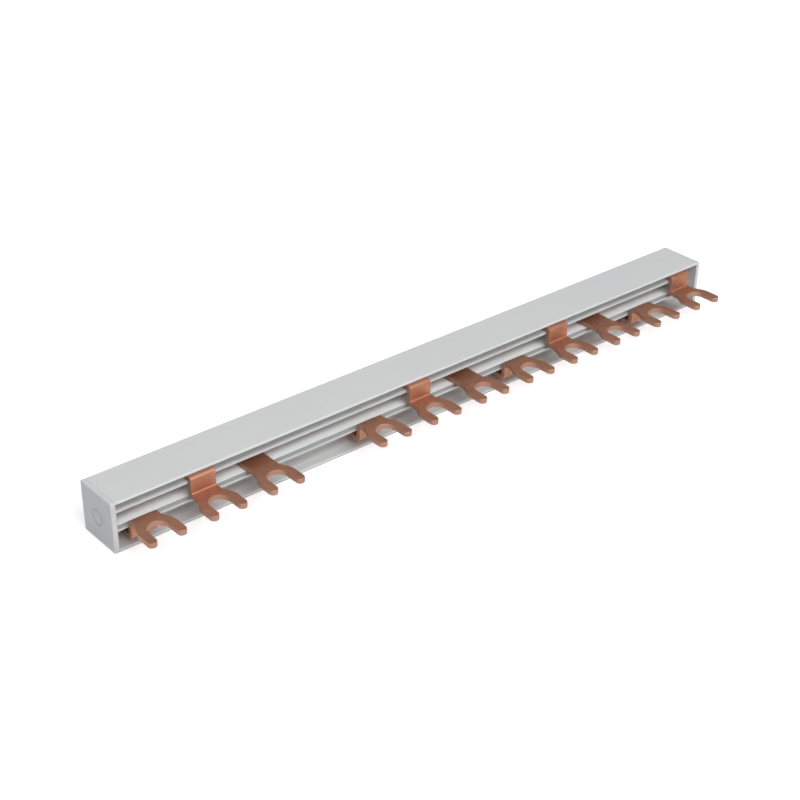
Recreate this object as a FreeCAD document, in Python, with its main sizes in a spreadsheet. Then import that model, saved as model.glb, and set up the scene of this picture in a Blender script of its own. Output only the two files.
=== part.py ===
import FreeCAD, Part
import math
import os
import re

import Sketcher

# Three-phase comb busbar for a row of twelve modular breakers.
# An open-fronted plastic profile holds three stamped copper combs on three levels.
# The forks of all three combs are bent to one level, and each end has a plug-in cap.
# X runs along the row, the forks point to -Y, Z is up.
# The origin is the centre of the profile's base face, and every size is in millimetres.

SIZES = [
    ("module_pitch", 17.8, "distance from one breaker terminal to the next"),
    ("module_count", 12, "terminals in the row, the empty one included"),
    ("phase_count", 3, "copper combs, one for each phase"),
    ("first_group_count", 4, "modules in the first group, with the neutral that has no fork"),
    ("first_fork_inset", 6.45, "first fork's centre line to the profile's left end"),
    ("last_fork_inset", 9.25, "last fork's centre line to the profile's right end"),
    ("profile_depth", 14.4, "profile from its open front to its back"),
    ("edge_radius", 0.4, "rounding of the outer corners of the profile and its caps"),
    ("base_plate", 0.9, "thickness of the bottom plate"),
    ("back_wall", 1.0, "thickness of the back wall"),
    ("top_plate", 0.7, "thickness of the top plate"),
    ("upper_rib", 1.0, "thickness of the rib below the upper comb"),
    ("middle_floor", 1.7, "thickness of the floor below the middle comb"),
    ("rib_setback", 0.2, "rib noses behind the profile's front plane"),
    ("nose_radius", 0.25, "rounding of the rib noses"),
    ("rebate_depth", 0.45, "depth of the step along the middle floor's upper front edge"),
    ("rebate_height", 0.95, "height of that step"),
    ("rail_width", 0.8, "width of the rails and nibs that guide a strip"),
    ("rail_inset", 1.1, "rails and nibs behind or before the strip's edges"),
    ("relief_length", 6.0, "ribs cut back at the right end, along the row"),
    ("relief_depth", 4.2, "ribs cut back at the right end, from the front"),
    ("copper_thickness", 1.5, "thickness of the copper sheet"),
    ("strip_width", 8.0, "width of a comb's strip"),
    ("strip_play", 0.2, "strip's back edge to the back wall"),
    ("seat_clearance", 0.05, "free height below and above a strip"),
    ("lower_level", 2.95, "underside of the lower comb above the base face"),
    ("level_step", 4.7, "height from one comb's underside to the next"),
    ("neck_width", 7.4, "width of a fork's neck and of the tab behind it"),
    ("fork_width", 10.9, "width over both prongs"),
    ("slot_width", 5.9, "screw slot between the prongs"),
    ("slot_reach", 5.55, "slot's closed end before the profile's front"),
    ("fork_reach", 13.3, "prong tips before the profile's front"),
    ("shoulder_radius", 5.0, "hollow where the neck widens into the prongs"),
    ("bend_radius", 0.5, "inner radius of the bends in a tab"),
    ("upper_bend_outside", 0.9, "outer radius of the upper comb's bends, which its die squares up"),
    ("bend_lead", 0.2, "flat copper from a tab's last bend to its fork"),
    ("upper_riser_gap", 0.05, "upper comb's risers before the profile's front"),
    ("lower_riser_gap", 0.2, "lower comb's risers before the profile's front"),
    ("cap_thickness", 1.4, "thickness of an end cap's plate"),
    ("spigot_length", 2.2, "end cap's tongues inside the profile"),
    ("end_play", 0.3, "end cap's tongues to the ends of the strips"),
    ("mark_radius", 2.2, "moulded ring on an end cap, middle of its groove"),
    ("mark_width", 0.5, "width of the ring's groove"),
    ("mark_depth", 0.2, "depth of the ring's groove"),
]

# Lengths and places that follow from the sizes, each with the name that the sketches use.
DERIVED = {
    "profile_length": "(module_count - 1) * module_pitch + first_fork_inset + last_fork_inset",
    "left_end": "-profile_length / 2",
    "right_end": "profile_length / 2",
    "front": "-profile_depth / 2",
    "back": "profile_depth / 2",
    "inner_back": "back - back_wall",
    "rib_nose": "front + rib_setback",
    "rebate_face": "rib_nose + rebate_depth",
    "middle_level": "lower_level + level_step",
    "upper_level": "lower_level + 2 * level_step",
    "ceiling": "upper_level + copper_thickness + seat_clearance",
    "profile_height": "ceiling + top_plate",
    "upper_rib_top": "upper_level - seat_clearance",
    "upper_rib_base": "upper_rib_top - upper_rib",
    "floor_top": "middle_level - seat_clearance",
    "floor_base": "floor_top - middle_floor",
    "rebate_base": "floor_top - rebate_height",
    "strip_back": "inner_back - strip_play",
    "strip_front": "strip_back - strip_width",
    "front_rail": "strip_front + rail_inset",
    "back_rail": "strip_back - rail_inset - rail_width",
    "strip_end": "spigot_length + end_play",
    "prong_radius": "(fork_width - slot_width) / 4",
    "slot_centre": "front - slot_reach - slot_width / 2",
    "tip_centre": "front - fork_reach + prong_radius",
    "upper_riser": "front - upper_riser_gap",
    "lower_riser": "front - lower_riser_gap",
    "lower_bend_outside": "bend_radius + copper_thickness",
}

doc = FreeCAD.newDocument("comb_busbar")
sheet = doc.addObject("Spreadsheet::Sheet", "Sizes")
for row, (alias, number, meaning) in enumerate(SIZES, start=1):
    sheet.set(f"A{row}", meaning)
    sheet.set(f"B{row}", str(number))
    sheet.setAlias(f"B{row}", alias)
doc.recompute()


def expand(formula):
    """Write a formula of named sizes out as one that a property can be bound to."""
    def spell(match):
        name = match.group(0)
        if name in DERIVED:
            return f"({expand(DERIVED[name])})"
        return f"Sizes.{name}" if sheet.getCellFromAlias(name) else name
    return re.sub(r"[a-z_]+", spell, str(formula))


def number_of(formula):
    """Work a formula out from the sheet."""
    return float(sheet.evalExpression(expand(formula)))


def origin_part(body, role):
    """One of the body's own base planes or axes."""
    return next(part for part in body.Origin.OriginFeatures if part.Role == role)


def new_sketch(body, name, plane, along=0, beside=0):
    """Sketch on one of the body's base planes, moved along its normal and its first axis."""
    sketch = body.newObject("Sketcher::SketchObject", name)
    sketch.AttachmentSupport = [(origin_part(body, plane), "")]
    sketch.MapMode = "FlatFace"
    sketch.setExpression("AttachmentOffset.Base.x", expand(beside))
    sketch.setExpression("AttachmentOffset.Base.z", expand(along))
    return sketch


def bind(sketch, kind, *place, formula):
    """Add a dimension to a sketch and bind it to the sheet."""
    index = sketch.addConstraint(Sketcher.Constraint(kind, *place, number_of(formula)))
    sketch.setExpression(f"Constraints[{index}]", expand(formula))


def corner_arc(point, radius, inward, outward):
    """Quarter arc in a square corner, and whether it runs the way the outline does."""
    middle = point - inward * radius + outward * radius
    turns_left = inward.x * outward.y - inward.y * outward.x > 0
    ends = [point - inward * radius, point + outward * radius]
    if not turns_left:
        ends.reverse()
    angles = [FreeCAD.Vector(1, 0, 0).getAngle(end - middle) for end in ends]
    angles = [angle if end.y >= middle.y else -angle for angle, end in zip(angles, ends)]
    circle = Part.Circle(middle, FreeCAD.Vector(0, 0, 1), radius)
    return Part.ArcOfCircle(circle, angles[0], angles[1]), turns_left


def draw_outline(sketch, corners):
    """Closed outline of straight lines; a corner is across, up and, if rounded, its radius."""
    spots = [FreeCAD.Vector(number_of(corner[0]), number_of(corner[1])) for corner in corners]
    radii = [corner[2] if len(corner) > 2 else None for corner in corners]
    count = len(corners)
    ways = [(spots[(i + 1) % count] - spots[i]).normalize() for i in range(count)]
    level = [abs(way.y) < 1e-6 for way in ways]
    upright = [abs(way.x) < 1e-6 for way in ways]
    lines = []
    for i in range(count):
        start_cut = number_of(radii[i]) if radii[i] else 0
        end_cut = number_of(radii[(i + 1) % count]) if radii[(i + 1) % count] else 0
        start = spots[i] + ways[i] * start_cut
        end = spots[(i + 1) % count] - ways[i] * end_cut
        lines.append(sketch.addGeometry(Part.LineSegment(start, end)))
        if level[i]:
            sketch.addConstraint(Sketcher.Constraint("Horizontal", lines[i]))
            bind(sketch, "DistanceY", -1, 1, lines[i], 1, formula=corners[i][1])
        if upright[i]:
            sketch.addConstraint(Sketcher.Constraint("Vertical", lines[i]))
            bind(sketch, "DistanceX", -1, 1, lines[i], 1, formula=corners[i][0])
    for i in range(count):
        before, after = lines[i - 1], lines[i]
        if radii[i]:
            arc, same_way = corner_arc(spots[i], number_of(radii[i]), ways[i - 1], ways[i])
            rounding = sketch.addGeometry(arc)
            entry, leaving = (1, 2) if same_way else (2, 1)
            sketch.addConstraint(Sketcher.Constraint("Tangent", before, 2, rounding, entry))
            sketch.addConstraint(Sketcher.Constraint("Tangent", rounding, leaving, after, 1))
            bind(sketch, "Radius", rounding, formula=radii[i])
            continue
        sketch.addConstraint(Sketcher.Constraint("Coincident", before, 2, after, 1))
        if not (upright[i - 1] or upright[i]):
            bind(sketch, "DistanceX", -1, 1, after, 1, formula=corners[i][0])
        if not (level[i - 1] or level[i]):
            bind(sketch, "DistanceY", -1, 1, after, 1, formula=corners[i][1])


def draw_box(sketch, left, right, base, top):
    """Rectangle between two uprights and two level lines."""
    draw_outline(sketch, [(left, base), (right, base), (right, top), (left, top)])


def extrude(body, kind, sketch, name, length, both_ways=False, backwards=False):
    """Pad or Pocket of a sketch, and the body's volume before and after tells if it worked."""
    before = body.Shape.Volume if body.Tip else 0
    feature = body.newObject(f"PartDesign::{kind}", name)
    feature.Profile = sketch
    feature.setExpression("Length", expand(length))
    feature.SideType = "Symmetric" if both_ways else "One side"
    feature.Reversed = backwards
    sketch.Visibility = False
    doc.recompute()
    gained = body.Shape.Volume - before
    if gained * (1 if kind == "Pad" else -1) <= 0:
        raise ValueError(f"{body.Label}: {name} changes the volume by {gained:.3f}")
    return feature


def round_edges(body, name, radius, chosen):
    """Fillet of those edges of the body's last feature that a test picks."""
    base = body.Tip
    names = [f"Edge{i}" for i, edge in enumerate(base.Shape.Edges, start=1) if chosen(edge)]
    fillet = body.newObject("PartDesign::Fillet", name)
    fillet.Base = (base, names)
    fillet.setExpression("Radius", expand(radius))
    doc.recompute()
    return fillet


def new_body(label):
    """Empty body at the part's own origin."""
    body = doc.addObject("PartDesign::Body", label)
    body.Label = label
    body.Placement = FreeCAD.Placement()
    return body


def build_housing_profile():
    """Open-fronted profile: base, back wall and top, with two ribs that part three levels."""
    body = new_body("housing_profile")
    section = new_sketch(body, "section", "YZ_Plane")
    draw_outline(section, [
        ("front", "0", "edge_radius"),
        ("back", "0", "edge_radius"),
        ("back", "profile_height", "edge_radius"),
        ("front", "profile_height", "edge_radius"),
        ("front", "ceiling"),
        ("inner_back", "ceiling"),
        ("inner_back", "upper_rib_top"),
        ("rib_nose", "upper_rib_top", "nose_radius"),
        ("rib_nose", "upper_rib_base", "nose_radius"),
        ("inner_back", "upper_rib_base"),
        ("inner_back", "floor_top"),
        ("rebate_face", "floor_top"),
        ("rebate_face", "rebate_base"),
        ("rib_nose", "rebate_base", "nose_radius"),
        ("rib_nose", "floor_base", "nose_radius"),
        ("inner_back", "floor_base"),
        ("inner_back", "base_plate"),
        ("front", "base_plate", "nose_radius"),
    ])
    extrude(body, "Pad", section, "profile", "profile_length", both_ways=True)

    # Rails carry the lower strip, and nibs hold the lower and middle strips down.
    guides = new_sketch(body, "guide_section", "YZ_Plane")
    for side in ("front_rail", "back_rail"):
        inner, outer = side, f"{side} + rail_width"
        draw_box(guides, inner, outer, "base_plate", "lower_level - seat_clearance")
        draw_box(guides, inner, outer,
                 "lower_level + copper_thickness + seat_clearance", "floor_base")
        draw_box(guides, inner, outer,
                 "middle_level + copper_thickness + seat_clearance", "upper_rib_base")
    extrude(body, "Pad", guides, "rails_and_nibs", "profile_length", both_ways=True)

    # At the right end both ribs are cut back beside the last fork.
    relief = new_sketch(body, "relief_section", "YZ_Plane", along="right_end")
    draw_box(relief, "front - rib_setback", "front + relief_depth", "base_plate", "ceiling")
    extrude(body, "Pocket", relief, "rib_relief", "relief_length")
    return body


def draw_fork(sketch, root):
    """Plan of a fork: neck, horseshoe round the screw slot, and two round-ended prongs."""
    neck, outer, inner = (number_of(f"{size} / 2") for size in ("neck_width", "fork_width", "slot_width"))
    start, middle, tip = (number_of(place) for place in (root, "slot_centre", "tip_centre"))
    hollow = number_of("shoulder_radius")
    prong = number_of("prong_radius")
    up = FreeCAD.Vector(0, 0, 1)
    # The hollow's centre is off the neck by its radius, and off the horseshoe by both radii.
    off = neck + hollow
    hollow_y = middle + ((outer + hollow) ** 2 - off ** 2) ** 0.5
    aim = FreeCAD.Vector(off, hollow_y - middle).normalize()
    meet = FreeCAD.Vector(0, middle) + aim * outer

    def arc(centre_x, centre_y, radius, first, last):
        """Arc that runs left about its centre from one point to the other."""
        centre = FreeCAD.Vector(centre_x, centre_y)
        circle = Part.Circle(centre, up, radius)
        ends = [circle.parameter(FreeCAD.Vector(*point)) for point in (first, last)]
        if ends[1] <= ends[0]:
            ends[1] += math.tau
        return sketch.addGeometry(Part.ArcOfCircle(circle, *ends))

    def line(x1, y1, x2, y2):
        """Straight edge from one point to the other."""
        return sketch.addGeometry(Part.LineSegment(FreeCAD.Vector(x1, y1), FreeCAD.Vector(x2, y2)))

    def tangent(*ends):
        """Let two edges meet end to end, with no corner."""
        sketch.addConstraint(Sketcher.Constraint("Tangent", *ends))

    back_edge = line(-neck, start, neck, start)
    slot_end = arc(0, middle, inner, (inner, middle), (-inner, middle))
    sketch.addConstraint(Sketcher.Constraint("Horizontal", back_edge))
    sketch.addConstraint(Sketcher.Constraint("PointOnObject", slot_end, 3, -2))
    bind(sketch, "DistanceY", -1, 1, back_edge, 1, formula=root)
    bind(sketch, "DistanceY", -1, 1, slot_end, 3, formula="slot_centre")
    bind(sketch, "Radius", slot_end, formula="slot_width / 2")
    for side in (-1, 1):
        here = 1 if side < 0 else 2
        neck_edge = line(side * neck, start, side * neck, hollow_y)
        sketch.addConstraint(Sketcher.Constraint("Vertical", neck_edge))
        sketch.addConstraint(Sketcher.Constraint("Coincident", neck_edge, 1, back_edge, here))
        bind(sketch, "DistanceX", -1, 1, neck_edge, 1, formula=f"{side} * neck_width / 2")

        meeting = (side * meet.x, meet.y)
        corner = (side * neck, hollow_y)
        widest = (side * outer, middle)
        ends = (corner, meeting) if side < 0 else (meeting, corner)
        # On the left the hollow is run through from the horseshoe up, on the right downwards.
        hollow_ends = (ends[1], ends[0])
        shoulder = arc(side * off, hollow_y, hollow, *hollow_ends)
        horseshoe = arc(0, middle, outer, *((meeting, widest) if side < 0 else (widest, meeting)))
        at_neck, at_horseshoe = (2, 1) if side < 0 else (1, 2)
        tangent(neck_edge, 2, shoulder, at_neck)
        tangent(shoulder, at_horseshoe, horseshoe, here)
        sketch.addConstraint(Sketcher.Constraint("Coincident", horseshoe, 3, slot_end, 3))
        bind(sketch, "Radius", shoulder, formula="shoulder_radius")
        bind(sketch, "Radius", horseshoe, formula="fork_width / 2")

        outside = line(side * outer, middle, side * outer, tip)
        inside = line(side * inner, tip, side * inner, middle)
        across = ((-outer, tip), (-inner, tip)) if side < 0 else ((inner, tip), (outer, tip))
        nose = arc(side * (outer + inner) / 2, tip, prong, *across)
        sketch.addConstraint(Sketcher.Constraint("Vertical", outside))
        sketch.addConstraint(Sketcher.Constraint("Vertical", inside))
        tangent(horseshoe, 3 - here, outside, 1)
        tangent(outside, 2, nose, here)
        tangent(nose, 3 - here, inside, 1)
        sketch.addConstraint(Sketcher.Constraint("Tangent", inside, 2, slot_end, 3 - here))
        bind(sketch, "DistanceY", -1, 1, nose, 3, formula="tip_centre")


def tab_outline(level, riser):
    """Side view of a tab from its strip to its fork, and where the fork starts."""
    top = f"{level} + copper_thickness"
    fork_base, fork_top = "middle_level", "middle_level + copper_thickness"
    if riser is None:
        root = "front"
        return root, [(root, level), ("strip_front", level), ("strip_front", top), (root, top)]
    root = f"{riser} - copper_thickness - bend_radius - bend_lead"
    face = f"{riser} - copper_thickness"
    if level == "upper_level":
        return root, [
            (root, fork_base), (riser, fork_base, "upper_bend_outside"), (riser, level, "bend_radius"),
            ("strip_front", level), ("strip_front", top), (face, top, "upper_bend_outside"),
            (face, fork_top, "bend_radius"), (root, fork_top),
        ]
    return root, [
        (root, fork_base), (face, fork_base, "bend_radius"), (face, level, "lower_bend_outside"),
        ("strip_front", level), ("strip_front", top), (riser, top, "bend_radius"),
        (riser, fork_top, "lower_bend_outside"), (root, fork_top),
    ]


def build_comb(label, level, riser, place_in_group):
    """One stamped copper comb: a strip, and a bent tab with a fork at every third terminal."""
    body = new_body(label)
    strip = new_sketch(body, "strip_plan", "XY_Plane", along=level)
    draw_box(strip, "left_end + strip_end", "right_end - strip_end", "strip_front", "strip_back")
    extrude(body, "Pad", strip, "strip", "copper_thickness")

    # The comb's first fork after the empty terminal is drawn, and the others repeat it.
    modules_before = f"(first_group_count + {place_in_group})"
    fork_x = f"left_end + first_fork_inset + {modules_before} * module_pitch"
    root, side_view = tab_outline(level, riser)
    tab_sketch = new_sketch(body, "tab_side_view", "YZ_Plane", along=fork_x)
    draw_outline(tab_sketch, side_view)
    tab = extrude(body, "Pad", tab_sketch, "tab", "neck_width", both_ways=True)
    fork_sketch = new_sketch(body, "fork_plan", "XY_Plane", along="middle_level", beside=fork_x)
    draw_fork(fork_sketch, root)
    fork = extrude(body, "Pad", fork_sketch, "fork", "copper_thickness")

    later = f"floor((module_count - 1 - {modules_before}) / phase_count)"
    for name, copies, reach, backwards in (
        ("forks_to_the_right", f"{later} + 1", f"{later} * phase_count * module_pitch", False),
        ("fork_before_the_gap", "2", "first_group_count * module_pitch", True),
    ):
        pattern = body.newObject("PartDesign::LinearPattern", name)
        pattern.Originals = [tab, fork]
        pattern.Direction = (origin_part(body, "X_Axis"), [""])
        pattern.Reversed = backwards
        pattern.setExpression("Length", expand(reach))
        pattern.setExpression("Occurrences", expand(copies))
        body.Tip = pattern
        doc.recompute()
    return body


def build_end_cap(label, side):
    """Moulded cap: a plate flush with the profile, and a tongue in each strip's track."""
    body = new_body(label)
    end = "left_end" if side < 0 else "right_end"
    outline = new_sketch(body, "plate_outline", "YZ_Plane", along=end)
    draw_box(outline, "front", "back", "0", "profile_height")
    extrude(body, "Pad", outline, "plate", "cap_thickness", backwards=side < 0)
    inner_face = number_of(end)

    def off_inner_face(edge):
        """The edges that leave the plate's inner face, and those round its outer face."""
        return any(abs(vertex.X - inner_face) > 1e-4 for vertex in edge.Vertexes)

    round_edges(body, "plate_rounding", "edge_radius", off_inner_face)

    # A round mould mark stands in the middle of the plate.
    ring = new_sketch(body, "ring_outline", "YZ_Plane", along=f"{end} + {side} * cap_thickness")
    middle = FreeCAD.Vector(0, number_of("profile_height / 2"))
    for sign in (-1, 1):
        radius = f"mark_radius + {sign} * mark_width / 2"
        circle = Part.Circle(middle, FreeCAD.Vector(0, 0, 1), number_of(radius))
        index = ring.addGeometry(circle)
        bind(ring, "Radius", index, formula=radius)
        ring.addConstraint(Sketcher.Constraint("PointOnObject", index, 3, -2))
        bind(ring, "DistanceY", -1, 1, index, 3, formula="profile_height / 2")
    extrude(body, "Pocket", ring, "ring_groove", "mark_depth", backwards=side < 0)

    tongues = new_sketch(body, "tongue_outline", "YZ_Plane", along=end)
    for level in ("lower_level", "middle_level", "upper_level"):
        draw_box(tongues, "strip_front", "strip_back", level, f"{level} + copper_thickness")
    extrude(body, "Pad", tongues, "tongues", "spigot_length", backwards=side > 0)
    return body


def check_and_write(bodies):
    """Stop on any failed object or bad solid, and write one file for each piece."""
    doc.recompute()
    for item in doc.Objects:
        if "Invalid" in item.State or "Error" in item.State:
            raise ValueError(f"{item.Label} is {item.State}")
    for body in bodies:
        if body.Shape.isNull() or not body.Shape.isValid():
            raise ValueError(f"{body.Label} has no valid shape")
    os.makedirs("parts", exist_ok=True)
    for body in bodies:
        body.Shape.exportStep(f"parts/{body.Label}.step")
        box = body.Shape.BoundBox
        print(f"{body.Label}: {len(body.Shape.Solids)} solid, {body.Shape.Volume:.1f} mm3, "
              f"{box.XLength:.2f} x {box.YLength:.2f} x {box.ZLength:.2f}")


check_and_write([
    build_housing_profile(),
    build_comb("lower_comb", "lower_level", "lower_riser", 0),
    build_comb("upper_comb", "upper_level", "upper_riser", 1),
    build_comb("middle_comb", "middle_level", None, 2),
    build_end_cap("left_end_cap", -1),
    build_end_cap("right_end_cap", 1),
])
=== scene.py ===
import logging
import math
from abc import ABC, abstractmethod
from collections.abc import Callable, Iterator, Sequence
from contextlib import contextmanager
from dataclasses import dataclass, field
from enum import Enum
from typing import ClassVar

import bmesh
import bpy
from mathutils import Matrix, Vector


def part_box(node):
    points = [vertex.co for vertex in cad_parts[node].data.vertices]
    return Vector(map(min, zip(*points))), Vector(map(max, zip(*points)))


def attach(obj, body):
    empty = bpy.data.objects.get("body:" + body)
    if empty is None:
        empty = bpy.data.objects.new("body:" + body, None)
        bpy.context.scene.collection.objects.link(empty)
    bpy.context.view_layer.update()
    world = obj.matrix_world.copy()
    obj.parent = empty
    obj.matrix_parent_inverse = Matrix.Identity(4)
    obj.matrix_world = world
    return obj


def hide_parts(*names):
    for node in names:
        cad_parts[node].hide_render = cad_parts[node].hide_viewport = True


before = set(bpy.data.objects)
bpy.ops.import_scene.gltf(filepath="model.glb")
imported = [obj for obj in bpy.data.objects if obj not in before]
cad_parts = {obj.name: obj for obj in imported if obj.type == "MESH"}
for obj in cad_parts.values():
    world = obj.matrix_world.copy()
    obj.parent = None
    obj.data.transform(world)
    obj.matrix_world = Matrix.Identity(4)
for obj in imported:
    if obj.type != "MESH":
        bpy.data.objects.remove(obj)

# A three-phase comb busbar: a light-grey extruded profile, two moulded end caps and three
# stamped copper combs. Sizes are in millimetres and Blender's own lengths in metres.
# X runs along the row of forks, the forks point to -Y, and Z is up from the base face.

log = logging.getLogger("comb_busbar")

# Doubled points lie within WELD, a place that is meant within SAME_PLACE, and the corners of a
# piece's box within FIT of its node's. A face looks along an axis if its normal has more than
# FACING of it, and stands up if its normal has less than STANDING of Z.
MM = 0.001
WELD = 0.001 * MM
SAME_PLACE = 0.01 * MM
FIT = 0.03 * MM
FACING = 0.9
STANDING = 0.5
SHARP_ANGLE = math.radians(50)
BODY = "root"

Colour = tuple[float, float, float, float]
Element = bmesh.types.BMFace | bmesh.types.BMEdge
Socket = bpy.types.NodeSocket
Sockets = bpy.types.bpy_prop_collection
Setting = float | tuple[float, ...] | Socket
Test = Callable[[Vector, Vector], bool]

WHITE: Colour = (1.0, 1.0, 1.0, 1.0)


class Kind(Enum):
    """The kinds of mesh element that get selected, by the name of their list."""

    EDGE = "edges"
    FACE = "faces"


class Slot(Enum):
    """The record's material slots."""

    PROFILE = "profile_plastic"
    CAP = "cap_plastic"
    COPPER = "copper"


class End(Enum):
    """The two ends of the busbar, by the sign of X."""

    LEFT = -1
    RIGHT = 1


class Bend(Enum):
    """How a tab goes from its strip to the fork level, by the sign of its first turn."""

    DOWN = -1
    FLAT = 0
    UP = 1


class Sheet(Enum):
    """The plane that an outline lies in, by the way that it faces."""

    SECTION = (1.0, 0.0, 0.0)
    PLAN = (0.0, 0.0, 1.0)

    def place(self, across: float, up: float, off: float) -> Vector:
        """Put a point of an outline in space.

        Args:
            across: first coordinate in the plane, in millimetres.
            up: second coordinate in the plane, in millimetres.
            off: distance of the plane from the origin, in millimetres.

        Returns:
            The point in metres.
        """
        if self is Sheet.SECTION:
            return mm(off, across, up)
        return mm(across, up, off)


def mm(*values: float) -> Vector:
    """Turn a place in millimetres into one in metres.

    Args:
        values: the coordinates, in millimetres.

    Returns:
        The same place in metres.
    """
    return Vector([value * MM for value in values])


def near(value: float, target: float) -> bool:
    """Tell if a length in metres is the one that is meant, in millimetres.

    Args:
        value: the length found, in metres.
        target: the length meant, in millimetres.

    Returns:
        True if they agree to a hundredth of a millimetre.
    """
    return abs(value - target * MM) < SAME_PLACE


# The tools that the pieces are modelled with.


def take(*pieces: bpy.types.Object) -> None:
    """Select these pieces and nothing else.

    Args:
        pieces: the pieces; the first becomes the active one.
    """
    for other in bpy.context.selected_objects:
        other.select_set(False)
    for piece in pieces:
        piece.select_set(True)
    if pieces:
        bpy.context.view_layer.objects.active = pieces[0]


@contextmanager
def editing(piece: bpy.types.Object) -> Iterator[None]:
    """Open a piece in edit mode, with nothing selected, and close it again.

    Args:
        piece: the piece to edit.

    Yields:
        Nothing.
    """
    take(piece)
    bpy.ops.object.mode_set(mode="EDIT")
    bpy.ops.mesh.select_all(action="DESELECT")
    yield
    bpy.ops.object.mode_set(mode="OBJECT")


def select_where(kind: Kind, test: Callable[[Element], bool]) -> None:
    """Select the elements of the edited mesh that are of one kind and pass a test.

    Args:
        kind: edges or faces.
        test: takes one element.
    """
    bpy.ops.mesh.select_mode(type=kind.name)
    bpy.ops.mesh.select_all(action="DESELECT")
    mesh = bpy.context.edit_object.data
    edited = bmesh.from_edit_mesh(mesh)
    for element in [each for each in getattr(edited, kind.value) if test(each)]:
        element.select_set(True)
    bmesh.update_edit_mesh(mesh)


def select_faces(test: Test) -> None:
    """Select the faces of the edited mesh whose middle and normal pass a test."""
    select_where(Kind.FACE, lambda face: test(face.calc_center_median(), face.normal))


def select_edges(test: Test) -> None:
    """Select the edges of the edited mesh whose two ends pass a test."""
    select_where(Kind.EDGE, lambda edge: test(edge.verts[0].co, edge.verts[1].co))


def select_edges_at(*places: float) -> None:
    """Select the edges that lie at one of these places along X, in millimetres."""
    select_edges(lambda one, other: any(
        near(one.x, place) and near(other.x, place) for place in places))


def pull(way: Vector) -> None:
    """Extrude what is selected along a way, in metres."""
    bpy.ops.mesh.extrude_region_move(TRANSFORM_OT_translate={"value": way})


def round_edges(radius: float, segments: int) -> None:
    """Round the selected edges to a radius, in millimetres."""
    bpy.ops.mesh.bevel(offset=radius * MM, segments=segments, affect="EDGES")


def weld() -> None:
    """Merge doubled points of the edited mesh and turn its faces outwards."""
    bpy.ops.mesh.select_all(action="SELECT")
    bpy.ops.mesh.remove_doubles(threshold=WELD)
    bpy.ops.mesh.normals_make_consistent(inside=False)


def apply_modifier(piece: bpy.types.Object, kind: str, **settings: object) -> None:
    """Add a modifier to a piece and apply it.

    Args:
        piece: the piece.
        kind: the modifier's type.
        settings: its properties.
    """
    take(piece)
    modifier = piece.modifiers.new(kind.lower(), kind)
    for name, value in settings.items():
        setattr(modifier, name, value)
    bpy.ops.object.modifier_apply(modifier=modifier.name)


def smooth(piece: bpy.types.Object) -> None:
    """Shade a piece smooth over its small radii, with its flat faces left flat."""
    take(piece)
    bpy.ops.object.shade_smooth_by_angle(angle=SHARP_ANGLE)
    apply_modifier(piece, "WEIGHTED_NORMAL", weight=50, keep_sharp=True)


def open_edges(piece: bpy.types.Object) -> int:
    """Count the edges of a piece that don't join exactly two faces.

    Args:
        piece: the piece.

    Returns:
        Their number, which is 0 for a closed piece.
    """
    looked_at = bmesh.new()
    looked_at.from_mesh(piece.data)
    count = sum(not edge.is_manifold for edge in looked_at.edges)
    looked_at.free()
    return count


@dataclass(frozen=True)
class Corner:
    """A corner of an outline and its rounding, in millimetres."""

    across: float
    up: float
    radius: float = 0.0

    def spot(self) -> Vector:
        """The corner as a point in the plane."""
        return Vector((self.across, self.up))


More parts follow.
